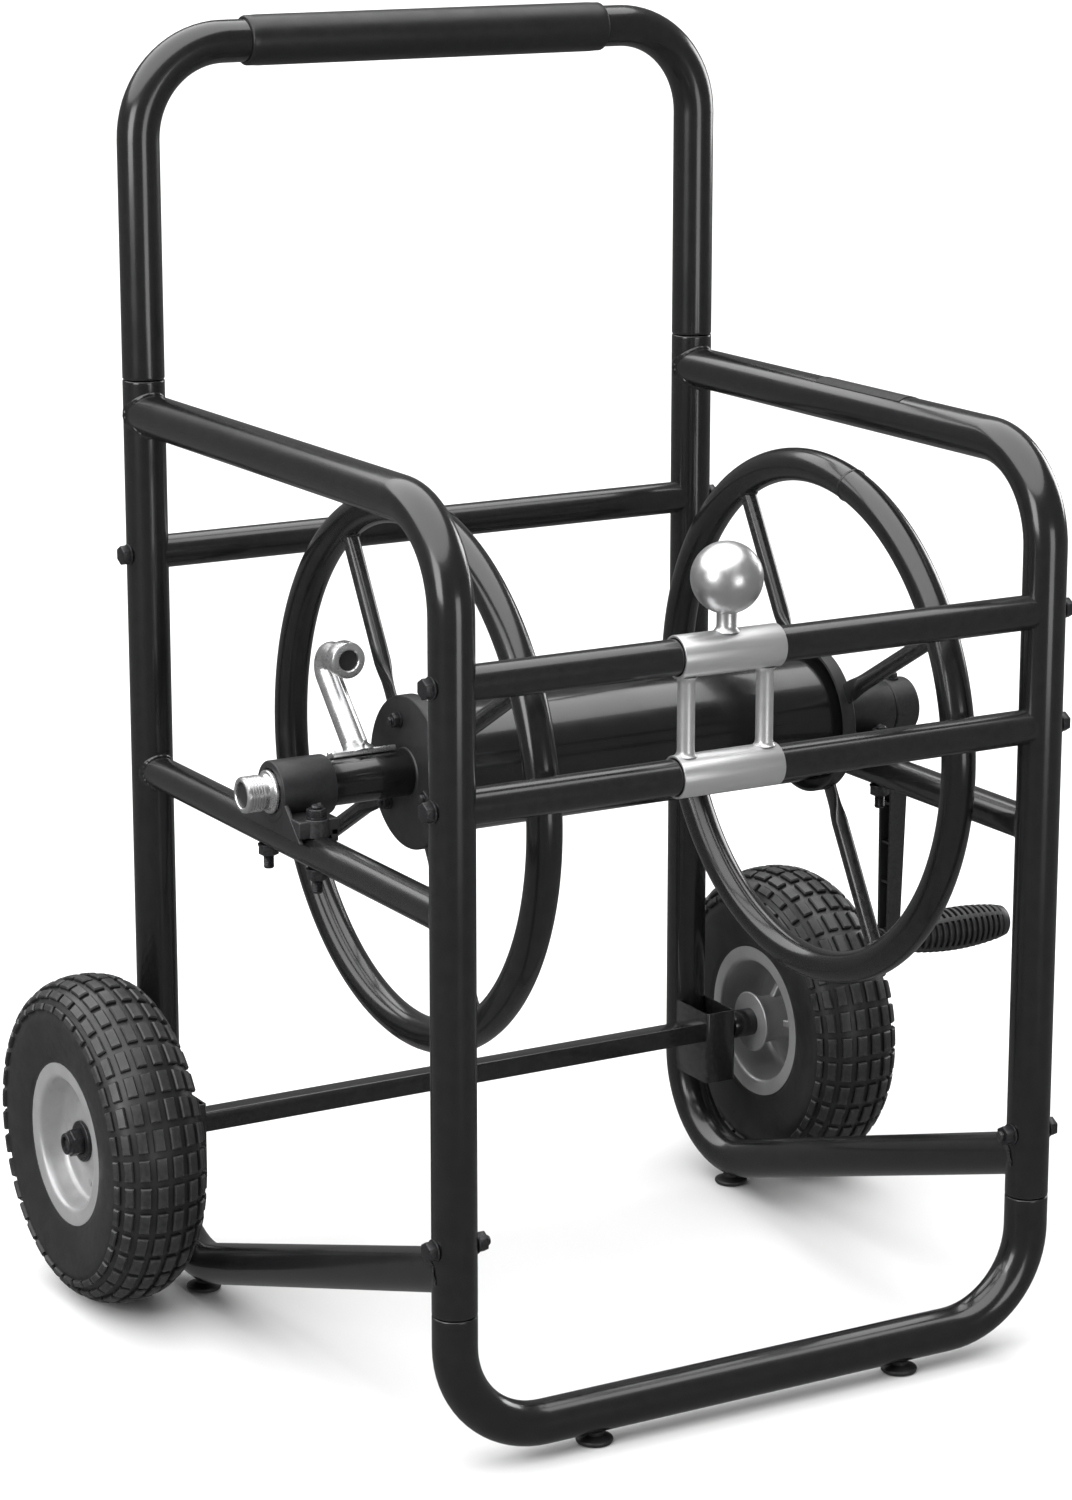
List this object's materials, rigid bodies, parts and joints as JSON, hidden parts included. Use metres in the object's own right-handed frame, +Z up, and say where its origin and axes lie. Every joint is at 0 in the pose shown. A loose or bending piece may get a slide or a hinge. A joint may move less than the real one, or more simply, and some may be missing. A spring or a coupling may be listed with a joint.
{
  "type": "garden hose reel cart",
  "caption": "Garden hose reel cart: bent tube frame with push handle, pneumatic wheels, cranked spoked reel, swivel inlet, gooseneck outlet and a sliding hose guide.",
  "frame": {"origin": "middle of the cart's bounding box, on the floor under its feet", "axes": "+X to the cart's right, towards the crank; +Y to its back, where the handle and wheels are; +Z up"},
  "size_m": [0.7404, 0.5859, 0.969],
  "materials": {
    "frame_black": "glossy black powder coat",
    "reel_black": "glossy black enamel",
    "grip_sleeve": "satin black sleeve",
    "moulded_black": "moulded black plastic",
    "tyre_rubber": "dark grey tyre rubber",
    "rim_silver": "silver-grey painted pressed steel",
    "cast_silver": "bright plated casting",
    "guide_silver": "satin silver metal",
    "dark_steel": "black oxide fasteners",
    "seal_rubber": "black rubber"
  },
  "bodies": {
    "frame": {"handle_tube": "frame_black", "handle_grip": "grip_sleeve", "rear_post_left": "frame_black", "front_post_left": "frame_black", "mid_rail_left": "frame_black", "axle_bracket_left": "frame_black", "pillow_block_left": "moulded_black", "axle_spacer_left": "reel_black", "axle_nut_left": "dark_steel", "foot_front_left": "moulded_black", "foot_rear_left": "moulded_black", "base_bolt_left": "dark_steel", "rear_post_right": "frame_black", "front_post_right": "frame_black", "mid_rail_right": "frame_black", "axle_bracket_right": "frame_black", "pillow_block_right": "moulded_black", "axle_spacer_right": "reel_black", "axle_nut_right": "dark_steel", "foot_front_right": "moulded_black", "foot_rear_right": "moulded_black", "base_bolt_right": "dark_steel", "front_base_tube": "frame_black", "rear_cross_bar": "frame_black", "guide_bar_upper": "frame_black", "guide_bar_lower": "frame_black", "wheel_axle": "frame_black", "block_bolt_left_1": "dark_steel", "block_bolt_left_2": "dark_steel", "block_bolt_right_1": "dark_steel", "block_bolt_right_2": "dark_steel"},
    "wheel_left": {"tyre_left": "tyre_rubber", "rim_left": "rim_silver", "wheel_hub_left": "rim_silver"},
    "wheel_right": {"tyre_right": "tyre_rubber", "rim_right": "rim_silver", "wheel_hub_right": "rim_silver"},
    "reel": {"reel_ring_left": "frame_black", "reel_ring_right": "frame_black", "spoke_left_1": "frame_black", "spoke_left_2": "frame_black", "spoke_left_3": "frame_black", "spoke_left_4": "frame_black", "spoke_right_1": "frame_black", "spoke_right_2": "frame_black", "spoke_right_3": "frame_black", "spoke_right_4": "frame_black", "end_flange_left": "reel_black", "end_flange_right": "reel_black", "reel_drum": "reel_black", "water_pipe": "reel_black", "drive_stub": "reel_black", "outlet_gooseneck": "cast_silver", "crank_arm": "moulded_black", "crank_pin": "dark_steel"},
    "crank_grip": {"crank_grip": "moulded_black"},
    "inlet": {"inlet_swivel": "cast_silver", "inlet_seal": "seal_rubber"},
    "hose_guide": {"hose_guide": "guide_silver", "guide_knob": "guide_silver"}
  },
  "joints": [
    {"name": "wheel_left_spin", "type": "hinge", "parent": "frame", "child": "wheel_left", "pos_m": [-0.33375, 0.16598, 0.127], "axis": [1, 0, 0], "continuous": true},
    {"name": "wheel_right_spin", "type": "hinge", "parent": "frame", "child": "wheel_right", "pos_m": [0.29125, 0.16598, 0.127], "axis": [1, 0, 0], "continuous": true},
    {"name": "reel_spin", "type": "hinge", "parent": "frame", "child": "reel", "pos_m": [-0.16675, -0.02772, 0.4375], "axis": [1, 0, 0], "continuous": true},
    {"name": "crank_grip_spin", "type": "hinge", "parent": "reel", "child": "crank_grip", "pos_m": [0.27325, -0.02772, 0.2475], "axis": [1, 0, 0], "continuous": true},
    {"name": "inlet_spin", "type": "hinge", "parent": "frame", "child": "inlet", "pos_m": [-0.28075, -0.02772, 0.4375], "axis": [1, 0, 0], "continuous": true},
    {"name": "guide_slide", "type": "slide", "parent": "frame", "child": "hose_guide", "axis": [1, 0, 0], "range_m": [-0.157, 0.212]}
  ]
}
